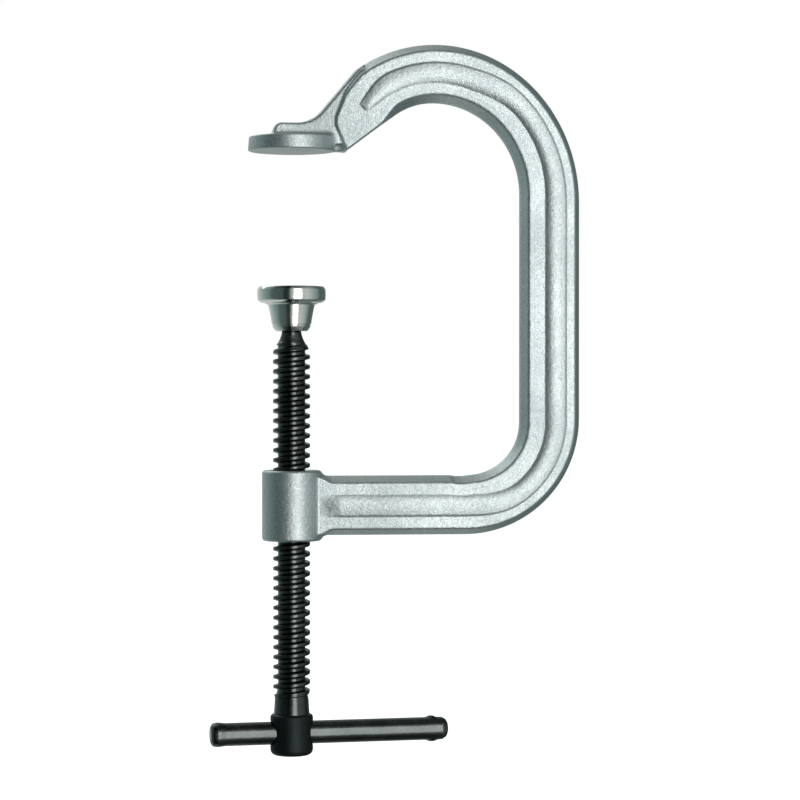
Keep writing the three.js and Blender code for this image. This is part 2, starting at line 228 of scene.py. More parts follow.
class Plan:
    """The forging from its side: distances from its edges on a fine grid, read between its points."""

    STEP = 0.3

    def __init__(self):
        self.low = FORGING_LOW[[0, 2]] - 3.0
        high = FORGING_HIGH[[0, 2]] + 3.0
        counts = np.ceil((high - self.low) / self.STEP).astype(int) + 1
        axes = [self.low[k] + self.STEP * np.arange(counts[k]) for k in range(2)]
        x, z = np.meshgrid(*axes, indexing="ij")
        x, z = x.astype(np.float32), z.astype(np.float32)
        inner = -side_of_line(x, z, inner_line())
        outer = side_of_line(x, z, outer_line())
        self.layers = [inner, outer, bead_height(x, z, inner, outer)]

    def at(self, x, z):
        """Distance from the inner edge, distance from the outer edge, and the bead's height."""
        u = (x - self.low[0]) / self.STEP
        v = (z - self.low[1]) / self.STEP
        shape = self.layers[0].shape
        i = np.clip(u.astype(int), 0, shape[0] - 2)
        j = np.clip(v.astype(int), 0, shape[1] - 2)
        fu, fv = np.clip(u - i, 0, 1), np.clip(v - j, 0, 1)
        found = []
        for layer in self.layers:
            low = layer[i, j] * (1 - fv) + layer[i, j + 1] * fv
            high = layer[i + 1, j] * (1 - fv) + layer[i + 1, j + 1] * fv
            found.append(low * (1 - fu) + high * fu)
        return found


def bead_height(x, z, inner, outer):
    """The rounded bead along the middle of each face. It rises by the hub and ends in the arch."""
    on_spine = smooth_step(76, 98, x)
    from_inner = inner - (8.0 + 2.35 * on_spine)
    from_outer = outer - (8.1 - 1.55 * on_spine)
    left_edge = -beyond(x, z, (28.6, 20.0), (34.0, 28.2))
    tip_edge = np.where(z > 0, beyond(x, z, (28.6, 20.0), (31.4, 16.8)), NOWHERE)
    from_outer = smooth_min(from_outer, left_edge, 3.0)
    from_inner = smooth_min(from_inner, tip_edge, 2.0)
    from_inner = np.maximum(from_inner, 0.0)
    from_outer = np.maximum(from_outer, 0.0)
    width = from_inner + from_outer
    across = from_inner / np.maximum(width, 1e-3)
    rise = 1.0 - np.clip((BEAD_CREST - across) / BEAD_CREST, 0, 1) ** 2.6
    fall = 1.0 - 0.72 * np.clip((across - BEAD_CREST) / (1 - BEAD_CREST), 0, 1) ** 1.6
    fall = np.minimum(fall, (1.0 - across) / 0.18)
    height = BEAD_HEIGHT * np.minimum(rise, fall) * np.minimum(width / BEAD_FULL_WIDTH, 1.0)
    inside = (from_inner > 0) & (from_outer > 0)
    return np.where(inside, height, 0.0) * smooth_step(11.5, 21.0, x)


def thread_radius(x, y, z, gap):
    """Radius of the screw's thread, or of the tapped hole with a running gap, at each point."""
    turn = np.arctan2(y, x) / (2 * math.pi)
    place = (z - CREST_Z) / PITCH - turn + 0.5
    offset = np.abs(place - np.floor(place) - 0.5) * PITCH
    share = np.clip((offset - CREST_HALF - gap) / (RIDGE_HALF - CREST_HALF), 0.0, 1.0)
    return THREAD_MAJOR_R + gap - share * (THREAD_MAJOR_R - THREAD_MINOR_R)


def beam_field(x, y, z, inner, outer, bead):
    """The C-shaped beam: flat faces with a bead, drafted sides, and the crease where the block ends."""
    side = np.abs(y)
    rise = HALF_THICKNESS - PARTING
    inner_draft = 3.0 + 0.4 * smooth_step(0, 20, z) - 2.9 * smooth_step(46, 37, x) * (z > -30)
    outer_draft = 2.9 + 0.45 * smooth_step(0, 20, z)
    flare_out = np.where(z < -100, 0.12 + 0.88 * smooth_step(11.0, 17.5, x), 1.0)
    inner_draft = inner_draft * flare_out
    outer_draft = outer_draft * flare_out
    in_slope = rise / inner_draft
    out_slope = rise / outer_draft
    lip = 0.14 * smooth_step(6.2, 5.4, inner) * smooth_step(62, 84, x)
    face = side - (HALF_THICKNESS + bead + lip)
    in_face = (side - PARTING - in_slope * inner) / np.sqrt(1 + in_slope ** 2)
    out_face = (side - PARTING - out_slope * outer) / np.sqrt(1 + out_slope ** 2)
    edge = np.maximum(-inner, -outer)
    beam = smooth_max(smooth_max(in_face, out_face, 0.6), edge, 0.8)
    beam = smooth_max(beam, face, 0.9)
    upper = beyond(x, z, CREASE_TOP, CREASE_KNEE)
    knee = beyond(x, z, CREASE_KNEE, CREASE_FOOT)
    lower = beyond(x, z, CREASE_FOOT, (TOE_X, 0.0))
    crease = np.minimum(np.minimum(upper, knee), lower)
    flare = 2.6  # how fast the block's end widens towards its middle
    crease_face = (side - HALF_THICKNESS - flare * crease) / math.hypot(1, flare)
    crease_face = np.where(z > -30, crease_face, -NOWHERE)
    toe_cut = np.where((x < 40) & (z > -30), -z, -NOWHERE)
    beam = smooth_max(beam, crease_face, 0.6)
    beam = smooth_max(beam, toe_cut, 0.5)
    hub_end = -x - 4.0
    return np.maximum(beam, np.where(z < -100, hub_end, -NOWHERE))


def rib_field(x, y, z, inner, outer):
    """The rib that carries the anvil disc: a steep roof over two nearly flat flanks."""
    side = np.abs(y)
    slope = 3.6
    roof = (side - 3.2 - slope * outer) / math.hypot(1, slope)
    flank = 5.0 + 1.3 * smooth_step(-6, 26, x) - 0.06 * np.clip(z - 12, 0, 30)
    rib = smooth_max(roof, side - flank, 1.2)
    rib = smooth_max(rib, -outer, 0.8)
    bounds = np.maximum(np.maximum(3.0 - z, x - RIB_END_X), 1.2 - inner)
    return np.maximum(rib, bounds)


def web_field(x, z, side):
    """The wedge between the anvil disc's edge and the toe, narrow at the disc."""
    half_width = WEB_HALF_WIDTH + WEB_SPREAD * (x - WEB_START_X)
    ends = np.maximum(WEB_START_X - x, x - TOE_X)
    return np.maximum(np.maximum(side - half_width, ends), np.maximum(-z, z - DISC_TOP_Z))


def round_slab(radius, z, slab_r, bottom, top, edge):
    """A short cylinder with rounded edges."""
    out = radius - (slab_r - edge)
    up = np.abs(z - (bottom + top) / 2) - ((top - bottom) / 2 - edge)
    away = np.sqrt(np.maximum(out, 0) ** 2 + np.maximum(up, 0) ** 2)
    return away + np.minimum(np.maximum(out, up), 0) - edge


def forging_field(x, y, z, layers):
    """The whole forging with its tapped hole, blended where the parts meet."""
    inner, outer, bead = layers
    radius = np.sqrt(x * x + y * y)
    disc = round_slab(radius + 0.08 * np.clip(z, 0, DISC_TOP_Z), z, DISC_R, 0.0, DISC_TOP_Z, 0.7)
    metal = smooth_min(rib_field(x, y, z, inner, outer), disc, 3.4)
    metal = smooth_min(metal, web_field(x, z, np.abs(y)), 0.6)
    metal = smooth_min(metal, beam_field(x, y, z, inner, outer, bead), 0.5)
    hub = round_slab(radius, z, HUB_R, HUB_BOTTOM_Z, HUB_TOP_Z, 1.3)
    fillet = 3.4 - 2.5 * smooth_step(3.5, 6.5, np.abs(y))
    metal = smooth_min(metal, hub, fillet)
    in_hub = z < -100
    bore = thread_radius(x, y, z, RUNNING_GAP) - radius
    mouth_r = THREAD_MAJOR_R + RUNNING_GAP + 0.7
    top_mouth = (mouth_r - (HUB_TOP_Z - z) - radius) * SLANT
    bottom_mouth = (mouth_r - (z - HUB_BOTTOM_Z) - radius) * SLANT
    hole = np.maximum(bore, np.maximum(top_mouth, bottom_mouth))
    return smooth_max(metal, np.where(in_hub, hole, -NOWHERE), 0.3)


# ---- meshing a field ----

def net_mesh(values, low, step):
    """Quads over the zero surface of a field on a grid: one point in each cell that it passes through."""
    inside = values < 0
    cells = tuple(n - 1 for n in values.shape)
    total = np.zeros(cells, np.int8)
    for i in (0, 1):
        for j in (0, 1):
            for k in (0, 1):
                total += inside[i:cells[0] + i, j:cells[1] + j, k:cells[2] + k]
    ids = np.full(cells, -1, np.int64)
    active = np.argwhere((total > 0) & (total < 8))
    ids[tuple(active.T)] = np.arange(len(active))
    points = np.zeros((len(active), 3))
    hits = np.zeros(len(active))
    for axis in range(3):
        others = [a for a in range(3) if a != axis]
        for p in (0, 1):
            for q in (0, 1):
                start = active.copy()
                start[:, others[0]] += p
                start[:, others[1]] += q
                end = start.copy()
                end[:, axis] += 1
                a = values[tuple(start.T)]
                b = values[tuple(end.T)]
                cross = (a < 0) != (b < 0)
                t = np.where(cross, a / np.where(cross, a - b, 1.0), 0.0)
                spot = start.astype(float)
                spot[:, axis] += t
                points += spot * cross[:, None]
                hits += cross
    points = low + points / hits[:, None] * step
    quads = []
    for axis in range(3):
        u, v = (axis + 1) % 3, (axis + 2) % 3
        near = [slice(None)] * 3
        far = [slice(None)] * 3
        near[axis] = slice(0, -1)
        far[axis] = slice(1, None)
        for flip in (False, True):
            first, second = inside[tuple(near)], inside[tuple(far)]
            edges = np.argwhere((first & ~second) if not flip else (~first & second))
            edges = edges[(edges[:, u] > 0) & (edges[:, v] > 0)]
            corner = []
            for du, dv in ((1, 1), (0, 1), (0, 0), (1, 0)):
                cell = edges.copy()
                cell[:, u] -= du
                cell[:, v] -= dv
                corner.append(ids[tuple(cell.T)])
            quad = np.column_stack(corner)
            quads.append(quad[:, ::-1] if flip else quad)
    return points, np.vstack(quads)


def gradient(field, points, reach=0.12):
    """A field's slope at each point, by central differences."""
    slopes = []
    for axis in range(3):
        step = np.zeros(3)
        step[axis] = reach
        slopes.append((field(points + step) - field(points - step)) / (2 * reach))
    return np.column_stack(slopes)


def settle(field, points, step):
    """Moves the points of a net on to the field's zero surface, and gives the surface's normals there."""
    for _ in range(4):
        slope = gradient(field, points)
        size = np.maximum((slope ** 2).sum(1), 0.2)
        move = slope * (field(points) / size)[:, None]
        length = np.maximum(np.linalg.norm(move, axis=1), 1e-9)
        points = points - move * np.minimum(1.0, 0.4 * step / length)[:, None]
    slope = gradient(field, points, 0.2)
    return points, slope / np.maximum(np.linalg.norm(slope, axis=1), 1e-9)[:, None]


def new_object(name, points, faces, normals=None):
    """A smooth-shaded mesh object in metres, from points in millimetres."""
    if isinstance(faces, np.ndarray):
        faces = faces.tolist()
    mesh = bpy.data.meshes.new(name)
    mesh.from_pydata((np.asarray(points) * MM).tolist(), [], faces)
    mesh.validate()
    mesh.shade_smooth()
    if normals is not None:
        mesh.normals_split_custom_set_from_vertices(normals.tolist())
    thing = bpy.data.objects.new(name, mesh)
    bpy.context.scene.collection.objects.link(thing)
    return thing


def finish_piece(thing, body, node, material):
    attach(thing, body)
    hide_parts(node)
    thing.data.materials.append(material)
    return thing


def make_forging(step):
    """Meshes the forging's field on a grid of cells step millimetres wide."""
    plan = Plan()
    low = FORGING_LOW - 1.5 * step
    counts = np.ceil((FORGING_HIGH + 1.5 * step - low) / step).astype(int) + 1
    x, y, z = [(low[k] + step * np.arange(counts[k])).astype(np.float32) for k in range(3)]
    flat_x, flat_z = np.meshgrid(x, z, indexing="ij")
    layers = [layer.astype(np.float32)[:, None, :] for layer in plan.at(flat_x, flat_z)]
    values = forging_field(x[:, None, None], y[None, :, None], z[None, None, :], layers)
    points, quads = net_mesh(values, low, step)

    def field(p):
        return forging_field(p[:, 0], p[:, 1], p[:, 2], plan.at(p[:, 0], p[:, 2]))

    points, normals = settle(field, points, step)
    return new_object("forged_frame", points, quads, normals)


# ---- turned pieces ----

def rings_mesh(rings, close_start, close_end):
    """Points and faces of a skin over equal rings. An end is closed by one point in its middle."""
    count = len(rings[0])
    points = [tuple(p) for ring in rings for p in ring]
    faces = []
    for i in range(len(rings) - 1):
        for j in range(count):
            a, b = i * count + j, i * count + (j + 1) % count
            faces.append((a, b, b + count, a + count))
    last = (len(rings) - 1) * count
    if close_start is not None:
        points.append(tuple(close_start))
        faces += [(len(points) - 1, (j + 1) % count, j) for j in range(count)]
    if close_end is not None:
        points.append(tuple(close_end))
        faces += [(len(points) - 1, last + j, last + (j + 1) % count) for j in range(count)]
    return points, faces


def turned_rings(profile, segments):
    a = np.linspace(0, 2 * math.pi, segments, endpoint=False)
    return [np.column_stack([r * np.cos(a), r * np.sin(a), np.full(segments, z)]) for r, z in profile]


def rounded(profile, spacing=0.35, radius=0.5):
    """A profile of (r, z, radius) corners with each corner rounded; radius may be left out of a corner."""
    corners = [(p[0], p[1], p[2] if len(p) > 2 else radius) for p in profile]
    out = [np.array(corners[0][:2])]
    for before, here, after in zip(corners[:-2], corners[1:-1], corners[2:]):
        p = np.array(here[:2])
        u = np.array(before[:2]) - p
        v = np.array(after[:2]) - p
        lu, lv = np.linalg.norm(u), np.linalg.norm(v)
        u, v = u / lu, v / lv
        bend = math.acos(float(np.clip(-u @ v, -1, 1)))
        reach = min(here[2] * math.tan(bend / 2), 0.48 * lu, 0.48 * lv)
        count = max(2, int(bend / 0.25) + 1)
        start, end = p + u * reach, p + v * reach
        for k in range(count + 1):
            t = k / count
            out.append((1 - t) ** 2 * start + 2 * t * (1 - t) * p + t * t * end)
    out.append(np.array(corners[-1][:2]))
    dense = [out[0]]
    for a, b in zip(out[:-1], out[1:]):
        pieces = max(1, int(np.linalg.norm(b - a) / (spacing * 4)))
        dense += [a + (b - a) * (k / pieces) for k in range(1, pieces + 1)]
    return dense


def ball_profile(cx, cz, r, start, end, count):
    a = np.radians(np.linspace(start, end, count))
    return [(cx + r * math.cos(t), cz + r * math.sin(t)) for t in a]


def thread_profile():
    """One thread from root to root: (distance along the screw from the crest, radius)."""
    half = [
        (0.0, THREAD_MAJOR_R), (0.42, THREAD_MAJOR_R), (0.66, 7.93), (0.82, 7.72), (0.94, 7.3),
        (1.14, 6.55), (1.3, 6.15), (1.52, 5.94), (1.85, THREAD_MINOR_R),
    ]
    return [(PITCH / -2, THREAD_MINOR_R)] + [(-along, r) for along, r in half[::-1]] + half[1:]


def run_out(z):
    """Largest radius of the screw at each height: it necks down at the top and runs into the shank below."""
    top = THREAD_TOP_Z
    above = np.interp(z, [top - 4.2, top - 1.2, top + 0.6, top + 1.9, top + 3.7, top + 5.4],
                      [8.2, 6.9, 5.6, 5.0, 4.4, NECK_R])
    bottom = THREAD_BOTTOM_Z
    below = np.interp(z, [bottom - 0.4, bottom + 0.6, bottom + 4.5], [7.3, 7.4, 8.1])
    return np.minimum(above, below)


def least_radius(z):
    """Smallest radius: the thread's roots fill up where the shank begins."""
    bottom = THREAD_BOTTOM_Z
    return np.interp(z, [bottom - 0.4, bottom + 0.5, bottom + 4.5], [7.3, 7.1, THREAD_MINOR_R])


def make_screw_body(segments=48):
    """Points and faces of the screw above its head: ball, neck, helical thread and shank."""
    profile = thread_profile()
    rows_per_turn = len(profile)
    top = THREAD_TOP_Z + 5.4
    bottom = THREAD_BOTTOM_Z - 0.4
    first = math.floor((bottom - CREST_Z) / PITCH) - 2
    turns = math.ceil((top - bottom) / PITCH) + 4
    rows = turns * rows_per_turn + 1
    steps = np.arange(segments)
    points = np.zeros((rows, segments, 3))
    for row in range(rows):
        offset, r = profile[row % rows_per_turn]
        z = CREST_Z + (first + row // rows_per_turn + steps / segments) * PITCH + offset
        z = np.clip(z, bottom, top)
        radius = np.minimum(np.maximum(r, least_radius(z)), run_out(z))
        a = 2 * math.pi * steps / segments
        points[row] = np.column_stack([radius * np.cos(a), radius * np.sin(a), z])
    faces = []
    for row in range(rows - 1 - rows_per_turn):
        for s in range(segments):
            here = row * segments + s
            if s < segments - 1:
                faces.append((here, here + 1, here + 1 + segments, here + segments))
            else:
                wrap = (row + rows_per_turn) * segments
                faces.append((here, wrap, wrap + segments, here + segments))
    flat = points.reshape(-1, 3)
    keep = []
    for face in faces:
        heights = flat[list(face), 2]
        if heights.max() - heights.min() > 1e-6:
            keep.append(face)
    neck = ball_profile(0, BALL_Z, BALL_R, -math.degrees(math.acos(NECK_R / BALL_R)), 86, 26)
    neck = [(NECK_R, top + (neck[0][1] - top) * t) for t in (0.0, 0.5)] + neck
    extra, neck_faces = rings_mesh(turned_rings(neck, segments), None, (0, 0, BALL_Z + BALL_R))
    shank = rounded([
        (6.9, HEAD_TOP_Z - 2.0), (7.7, HEAD_TOP_Z - 1.5), (7.7, HEAD_TOP_Z + 0.4),
        (7.55, HEAD_TOP_Z + 2.0), (7.3, bottom),
    ])
    more, shank_faces = rings_mesh(turned_rings(shank, segments), (0, 0, HEAD_TOP_Z - 2.0), None)
    base = len(flat)
    faces = keep + [tuple(i + base for i in f) for f in neck_faces]
    base += len(extra)
    faces += [tuple(i + base for i in f) for f in shank_faces]
    return np.vstack([flat, extra, more]), faces


def head_field(p):
    """The head's cylinder, chamfered at both ends, with the bar's cross hole."""
    x, y, z = p[..., 0], p[..., 1], p[..., 2]
    radius = np.sqrt(x * x + y * y)
    head = round_slab(radius, z, HEAD_R, HEAD_BOTTOM_Z, HEAD_TOP_Z, 0.4)
    top_chamfer = (radius - (HEAD_R - 0.9) - (HEAD_TOP_Z - z)) * SLANT
    low_chamfer = (radius - (HEAD_R - 1.5) - (z - HEAD_BOTTOM_Z)) * SLANT
    head = smooth_max(smooth_max(head, top_chamfer, 0.5), low_chamfer, 0.8)
    across = -x * math.sin(BAR_TURN) + y * math.cos(BAR_TURN)
    along = np.abs(x * math.cos(BAR_TURN) + y * math.sin(BAR_TURN))
    from_axis = np.sqrt(across ** 2 + (z - BAR_Z) ** 2)
    hole = BAR_HOLE_R - from_axis
    wall = np.sqrt(np.maximum(HEAD_R ** 2 - across ** 2, 0))
    mouth = (BAR_HOLE_R + 0.3 - (wall - along) - from_axis) * SLANT
    return smooth_max(head, np.maximum(hole, mouth), 0.25)


def make_screw():
    points, faces = make_screw_body()
    step = 0.5
    low = np.array([-HEAD_R, -HEAD_R, HEAD_BOTTOM_Z]) - 1.3 * step
    high = np.array([HEAD_R, HEAD_R, HEAD_TOP_Z]) + 1.3 * step
    axes = [np.arange(low[k], high[k] + step, step) for k in range(3)]
    grid = np.stack(np.meshgrid(*axes, indexing="ij"), axis=-1)
    head, quads = net_mesh(head_field(grid), low, step)
    head, _ = settle(head_field, head, step)
    base = len(points)
    faces += [tuple(int(i) + base for i in q) for q in quads]
    thing = new_object("clamp_screw", np.vstack([points, head]), faces)
    weld(thing)
    return thing


def weld(thing):
    """Joins points that lie on each other and drops faces that have no area."""
    shape = bmesh.new()
    shape.from_mesh(thing.data)
    bmesh.ops.remove_doubles(shape, verts=shape.verts, dist=2e-6)
    bmesh.ops.dissolve_degenerate(shape, edges=shape.edges, dist=1e-6)
    loose = [v for v in shape.verts if not v.link_faces]
    bmesh.ops.delete(shape, geom=loose, context="VERTS")
    bmesh.ops.recalc_face_normals(shape, faces=shape.faces)
    shape.to_mesh(thing.data)
    shape.free()
    thing.data.shade_smooth()


def make_pad(segments=112):
    """The swivel pad, turned: cup and ring groove inside, lip, tapered wall and flange outside."""
    face = PAD_HIGH[2]
    lip = PAD_LOW[2]
    profile = [
        (0.0, BALL_Z + BALL_R + 0.3),
        *ball_profile(0, BALL_Z, BALL_R + 0.3, 84, 4, 16),
        (5.9, -72.4, 0.1), (6.95, -72.4, 0.2), (6.95, -75.4, 0.2), (5.75, -75.4, 0.15),
        (5.75, lip + 0.5, 0.3), (6.0, lip, 0.3), (6.9, lip, 1.4), (8.3, lip + 2.2, 1.0),
        (8.05, lip + 2.65, 0.1), (8.05, lip + 2.8, 0.05), (8.45, lip + 3.0, 0.1), (8.85, -71.6, 1.5),
        (9.6, -67.6, 2.5), (9.9, -66.5, 0.5), (10.0, -65.9, 0.25), (10.9, -65.7, 0.3), (11.3, -65.3, 0.3),
        (13.2, -64.9, 1.0), (14.6, -63.9, 0.9), (PAD_HIGH[0], -61.9, 1.6),
        (PAD_HIGH[0] - 0.1, face - 1.4, 0.8), (13.9, face, 1.0), (0.0, face),
    ]
    dense = rounded(profile, spacing=0.4)
    points, faces = rings_mesh(turned_rings(dense[1:-1], segments), (0, 0, dense[0][1]), (0, 0, face))
    thing = new_object("nickel_pad", points, faces)
    weld(thing)
    return thing


def make_ring(around=72, section=14):
    """The split ring that holds the pad on the ball, its two ends rounded off."""
    middle = (RING_LOW[2] + RING_HIGH[2]) / 2
    wire = (RING_HIGH[2] - RING_LOW[2]) / 2
    radius = -RING_LOW[0] - wire
    half_gap = math.radians(12)
    rings = []
    for t in np.linspace(0, 1, around):
        end = min(t, 1 - t) * around * 0.12
        thin = wire * math.sqrt(min(1.0, max(0.05, end * (2 - end)))) if end < 1 else wire
        a = half_gap + (2 * math.pi - 2 * half_gap) * t
        b = np.linspace(0, 2 * math.pi, section, endpoint=False)
        out = radius + thin * np.cos(b)
        rings.append(np.column_stack([out * math.cos(a), out * math.sin(a), middle + thin * np.sin(b)]))
    points, faces = rings_mesh(rings, rings[0].mean(0), rings[-1].mean(0))
    thing = new_object("spring_ring", points, faces)
    weld(thing)
    return thing


def make_bar(segments=56):
    """A round bar with its left end upset by a blow and its right end staked on two sides."""
    left = [(0.0, BAR_LEFT), (3.4, BAR_LEFT, 1.2), (4.9, BAR_LEFT + 0.9, 1.2), (5.3, BAR_LEFT + 2.8, 1.5),
            (5.2, BAR_LEFT + 4.2, 1.0), (BAR_R, BAR_LEFT + 6.2, 2.0)]
    right = [(BAR_R, BAR_RIGHT - 2.4, 2.0), (3.9, BAR_RIGHT - 0.7, 1.3),
             (2.6, BAR_RIGHT, 0.8), (0.0, BAR_RIGHT)]
    dense = rounded(left + right, spacing=0.5)
    profile = []
    for a, b in zip(dense[:-1], dense[1:]):
        near_end = min(a[1] - BAR_LEFT, BAR_RIGHT - a[1]) < 16
        pieces = max(1, int(abs(b[1] - a[1]) / (0.45 if near_end else 2.5)))
        profile += [a + (b - a) * (k / pieces) for k in range(pieces)]
    stations = np.array([p for p in profile if p[0] > 0])
    a = np.linspace(0, 2 * math.pi, segments, endpoint=False)
    s = stations[:, 1][:, None]
    r = np.repeat(stations[:, 0][:, None], segments, axis=1)
    up = np.sin(a)[None, :]
    front = -np.cos(a)[None, :]
    dents = [  # place along the bar, angle from the front towards the top, lengths along and round, height
        (61.4, 90, 1.8, 26, 0.72), (61.7, -90, 2.1, 34, 0.72),
        (60.8, 52, 1.5, 15, -0.3), (62.6, -58, 1.9, 14, -0.45), (62.2, -18, 1.1, 12, -0.3),
        (-33.0, 30, 1.6, 26, -0.25), (-31.6, -60, 1.3, 20, -0.2), (64.5, 20, 1.2, 14, -0.12),
    ]
    around = np.degrees(np.arctan2(up, front))
    for place, angle, length, spread, height in dents:
        turn = (around - angle + 180) % 360 - 180
        r = r + height * np.exp(-(((s - place) / length) ** 2 + (turn / spread) ** 2) ** 1.8)
    across = -np.cos(a)[None, :] * r
    rise = np.sin(a)[None, :] * r
    cos_t, sin_t = math.cos(BAR_TURN), math.sin(BAR_TURN)
    x = s * cos_t - across * sin_t
    y = s * sin_t + across * cos_t
    z = BAR_Z + rise
    rings = np.stack([x + 0 * r, y, z], axis=-1)
    start = np.array([BAR_LEFT * cos_t, BAR_LEFT * sin_t, BAR_Z])
    end = np.array([BAR_RIGHT * cos_t, BAR_RIGHT * sin_t, BAR_Z])
    points, faces = rings_mesh(list(rings), start, end)
    thing = new_object("handle_bar", points, faces)
    weld(thing)
    return thing


# ---- materials ----

class Nodes:
    """A node tree whose nodes are added one at a time, each with its inputs."""

    def __init__(self, tree):
        self.tree = tree

    def add(self, kind, inputs=None, **settings):
        node = self.tree.nodes.new(kind)
        for key, value in settings.items():
            setattr(node, key, value)
        for key, value in (inputs or {}).items():
            self.join(value, node.inputs[key])
        return node

    def join(self, value, socket):
        if isinstance(value, bpy.types.NodeSocket):
            self.tree.links.new(value, socket)
        else:
            socket.default_value = value

    def remap(self, value, low, high, to_low=0.0, to_high=1.0):
        return self.add("ShaderNodeMapRange", {
            "Value": value, "From Min": low, "From Max": high,
            "To Min": to_low, "To Max": to_high}).outputs["Result"]

    def math(self, operation, a, b=0.0):
        return self.add("ShaderNodeMath", {0: a, 1: b}, operation=operation).outputs["Value"]



class Surface(Nodes):
    """A Principled material over noise in the object's own coordinates."""

    def __init__(self, name, **constants):
        self.material = bpy.data.materials.new(name)
        self.material.use_nodes = True
        super().__init__(self.material.node_tree)
        self.shader = self.tree.nodes["Principled BSDF"]
        for key, value in constants.items():
            self.shader.inputs[key.replace("_", " ")].default_value = value
        self.place = self.tree.nodes.new("ShaderNodeTexCoord").outputs["Object"]

    def noise(self, scale, detail=2.0, rough=0.5, vector=None, distortion=0.0):
        return self.add("ShaderNodeTexNoise", {
            "Vector": vector or self.place, "Scale": scale, "Detail": detail,
            "Roughness": rough, "Distortion": distortion}).outputs["Fac"]

    def mix(self, share, a, b):
        node = self.add("ShaderNodeMix", data_type="RGBA")
        self.join(share, node.inputs["Factor"])
        self.join(a, node.inputs["A"])
        self.join(b, node.inputs["B"])
        return node.outputs["Result"]

    def bump(self, height, strength, distance, under=None):
        inputs = {"Height": height, "Strength": strength, "Distance": distance}
        if under is not None:
            inputs["Normal"] = under
        return self.add("ShaderNodeBump", inputs).outputs["Normal"]

    def finish(self, **links):
        for key, socket in links.items():
            self.tree.links.new(socket, self.shader.inputs[key.replace("_", " ")])
        return self.material


def silver():
    """Blasted and plated forging: fine bright grain, slow patches, darker where it has been handled."""
    s = Surface("frame_silver", Metallic=1.0, Specular_IOR_Level=0.5)
    grain = s.noise(1900.0, 1.5, 0.6)
    coarse = s.noise(620.0, 2.0, 0.55)
    patches = s.noise(38.0, 3.0, 0.55)
    speckle = s.remap(grain, 0.3, 0.72)
    tone = s.mix(speckle, (0.42, 0.48, 0.48, 1), (0.75, 0.80, 0.805, 1))
    tone = s.mix(s.remap(patches, 0.35, 0.75, 0.0, 0.25), tone, (0.52, 0.59, 0.595, 1))
    rough = s.remap(s.math("ADD", patches, s.math("MULTIPLY", coarse, 0.6)), 0.5, 1.1, 0.44, 0.56)
    fine = s.bump(grain, 0.22, 0.0004)
    normal = s.bump(coarse, 0.16, 0.0009, fine)
    normal = s.bump(patches, 0.05, 0.004, normal)
    return s.finish(Base_Color=tone, Roughness=rough, Normal=normal)


def black_oxide(name, sheen_low, sheen_high, dull_below=None):
    """Oily black oxide with rubbed patches. Below the height dull_below, in metres, it is matt scale."""
    s = Surface(name, Metallic=1.0)
    blotch = s.noise(90.0, 4.0, 0.6)
    fine = s.noise(1100.0, 2.0, 0.6)
    low = tuple(sheen_low * tint for tint in (0.9, 1.0, 0.98)) + (1,)
    high = tuple(sheen_high * tint for tint in (0.9, 1.0, 0.98)) + (1,)
    tone = s.mix(s.remap(blotch, 0.4, 0.75), low, high)
    rough = s.remap(s.math("ADD", blotch, s.math("MULTIPLY", fine, 0.5)), 0.5, 1.05, 0.16, 0.30)
    if dull_below is not None:
        height = s.add("ShaderNodeSeparateXYZ", {"Vector": s.place}).outputs["Z"]
        dull = s.remap(height, dull_below + 0.0004, dull_below - 0.0004)
        scale = s.mix(s.remap(fine, 0.3, 0.7), (0.022, 0.029, 0.029, 1), (0.036, 0.045, 0.044, 1))
        tone = s.mix(dull, tone, scale)
        rough = s.math("ADD", rough, s.math("MULTIPLY", dull, 0.32))
    normal = s.bump(fine, 0.06, 0.0004)
    normal = s.bump(blotch, 0.05, 0.002, normal)
    return s.finish(Base_Color=tone, Roughness=rough, Normal=normal)


def nickel():
    """Bright nickel plate over fine turning rings."""
    s = Surface("nickel", Metallic=1.0)
    smudge = s.noise(120.0, 3.0, 0.6)
    parts = s.add("ShaderNodeSeparateXYZ", {"Vector": s.place})
    height = parts.outputs["Z"]
    turning = {"W": height, "Scale": 5200.0, "Detail": 2.0}
    rings = s.add("ShaderNodeTexNoise", turning, noise_dimensions="1D").outputs["Fac"]
    tone = s.mix(s.remap(smudge, 0.4, 0.7), (0.74, 0.755, 0.72, 1), (0.86, 0.865, 0.835, 1))
    rough = s.remap(smudge, 0.35, 0.75, 0.07, 0.16)
    normal = s.bump(rings, 0.05, 0.0003)
    return s.finish(Base_Color=tone, Roughness=rough, Normal=normal)


def spring_steel():
    """Dark spring wire."""
    s = Surface("spring_steel", Metallic=1.0)
    blotch = s.noise(300.0, 3.0, 0.6)
    tone = s.mix(s.remap(blotch, 0.35, 0.7), (0.16, 0.165, 0.17, 1), (0.32, 0.33, 0.335, 1))
    rough = s.remap(blotch, 0.35, 0.7, 0.28, 0.42)
    normal = s.bump(blotch, 0.1, 0.0003)
    return s.finish(Base_Color=tone, Roughness=rough, Normal=normal)


# ---- camera, lights, floor ----

LENS = 112.59  # millimetres, on a sensor 36 mm wide
CAMERA_PLACE = (-0.06364, -1.075, -0.0961)
CAMERA_DOWN = 0.57  # degrees
CAMERA_RIGHT = 5.87  # degrees
LIT_POINT = (0.045, 0.0, -0.09)


def make_camera():
    camera = bpy.data.objects.new("camera", bpy.data.cameras.new("camera"))
    bpy.context.scene.collection.objects.link(camera)
    camera.data.sensor_width = 36.0
    camera.data.lens = LENS
    camera.location = CAMERA_PLACE
    camera.rotation_euler = (math.radians(90 - CAMERA_DOWN), 0.0, math.radians(-CAMERA_RIGHT))
    camera.data.clip_start = 0.05
    bpy.context.scene.camera = camera


